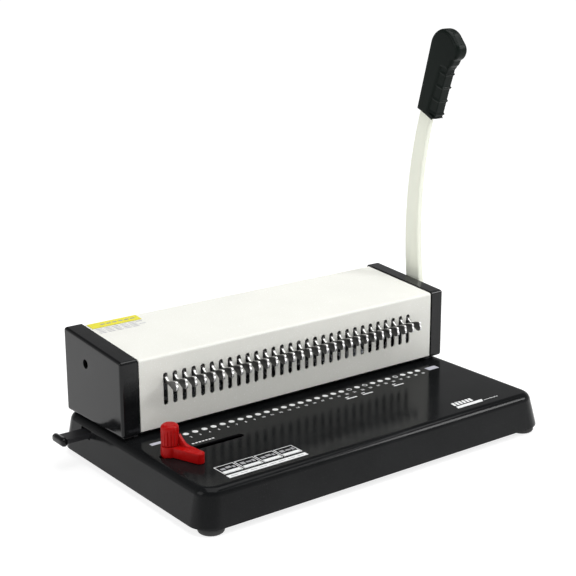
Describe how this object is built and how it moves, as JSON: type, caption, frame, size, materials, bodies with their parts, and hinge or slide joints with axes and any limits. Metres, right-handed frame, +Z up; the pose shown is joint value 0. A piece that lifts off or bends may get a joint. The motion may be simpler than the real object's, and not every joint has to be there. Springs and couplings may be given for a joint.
{
  "type": "comb binding machine",
  "caption": "Manual comb binding machine: side handle drives a row of punches and comb-opening hooks over a flat base with a paper edge guide.",
  "frame": {"origin": "middle of the whole object's footprint on the floor the feet stand on", "axes": "+Z up; -Y is the front, where paper goes in; +X is the side with the handle"},
  "size_m": [0.411, 0.2354, 0.3595],
  "materials": {
    "black_paint": "gloss",
    "black_plastic": "gloss",
    "grip_plastic": "satin",
    "cream_paint": "fine-texture powder coat",
    "handle_paint": "satin",
    "rubber": "matte",
    "red_plastic": "semi-gloss",
    "hook_nickel": "bright nickel plate",
    "tool_steel": "ground",
    "frame_steel": "phosphated",
    "bright_steel": "turned",
    "black_screw": "black oxide",
    "bronze": "sintered bush",
    "black_sheet": "satin"
  },
  "bodies": {
    "frame": {"base_shell": "black_paint", "base_pan": "black_sheet", "foot_fl": "rubber", "foot_fr": "rubber", "foot_bl": "rubber", "foot_br": "rubber", "die_plate": "tool_steel", "throat_spacer_l": "tool_steel", "throat_spacer_r": "tool_steel", "guide_plate": "tool_steel", "guide_bolts": "bright_steel", "side_plate_l": "frame_steel", "side_plate_r": "frame_steel", "bush_l": "bronze", "bush_r": "bronze", "front_tie_bar": "frame_steel", "tie_rod_low": "bright_steel", "tie_rod_high": "bright_steel", "cover_shell": "cream_paint", "cap_l": "black_plastic", "cap_r": "black_plastic", "cap_screw": "black_screw", "spring_post_l": "bright_steel", "spring_post_r": "bright_steel", "opener_rod_l": "bright_steel", "opener_rod_r": "bright_steel", "depth_keeper_a": "frame_steel", "depth_keeper_b": "frame_steel", "spring_l": "bright_steel", "spring_r": "bright_steel"},
    "drive": {"main_shaft": "bright_steel", "shaft_ring": "bright_steel", "handle_arm": "handle_paint", "handle_grip": "grip_plastic", "handle_bolt": "black_screw", "cam_l": "bright_steel", "cam_m": "bright_steel", "cam_r": "bright_steel", "crank_l": "bright_steel", "crank_r": "bright_steel"},
    "punch": {"punch_bar": "tool_steel", "punch_pins": "tool_steel"},
    "opener": {"opener_bar": "frame_steel", "comb_hooks_l": "hook_nickel", "comb_hooks_m": "hook_nickel", "comb_hooks_r": "hook_nickel", "opener_fork_l": "frame_steel", "opener_fork_r": "frame_steel"},
    "edge_guide": {"guide_block": "red_plastic", "guide_clamp_plate": "bright_steel"},
    "clamp_knob": {"guide_knob": "red_plastic"},
    "depth_control": {"depth_bar": "black_sheet", "depth_tee": "black_sheet"},
    "stop": {"paper_stop": "tool_steel"},
    "tray": {"chip_tray": "black_sheet", "tray_pull": "black_sheet"}
  },
  "joints": [
    {"name": "handle_swing", "type": "hinge", "parent": "frame", "child": "drive", "pos_m": [0.1935, 0.05945, 0.082], "axis": [1, 0, 0], "range_deg": [0, 65], "stiffness_Nm_per_rad": 0.4, "springref_deg": -34.38},
    {"name": "punch_stroke", "type": "slide", "parent": "frame", "child": "punch", "axis": [0, 0, -1], "range_m": [0, 0.0085], "deforming": ["spring_l", "spring_r"]},
    {"name": "hook_stroke", "type": "slide", "parent": "frame", "child": "opener", "axis": [0, 0, -1], "range_m": [0, 0.0162]},
    {"name": "guide_slide", "type": "slide", "parent": "frame", "child": "edge_guide", "axis": [1, 0, 0], "range_m": [0, 0.062]},
    {"name": "knob_turn", "type": "hinge", "parent": "edge_guide", "child": "clamp_knob", "pos_m": [-0.1561, -0.03085, 0.05], "axis": [0, 0, 1], "range_deg": [-180, 180]},
    {"name": "depth_slide", "type": "slide", "parent": "frame", "child": "depth_control", "axis": [-1, 0, 0], "range_m": [0, 0.012]},
    {"name": "stop_shift", "type": "slide", "parent": "frame", "child": "stop", "axis": [0, 1, 0], "range_m": [0, 0.0031]},
    {"name": "tray_slide", "type": "slide", "parent": "frame", "child": "tray", "axis": [0, 1, 0], "range_m": [0, 0.07]}
  ],
  "couplings": [
    {"joint": "punch_stroke", "follows": "handle_swing", "m_per_rad": 0.0074044},
    {"joint": "hook_stroke", "follows": "handle_swing", "m_per_rad": 0.014104},
    {"joint": "stop_shift", "follows": "depth_slide", "ratio": 0.25}
  ]
}
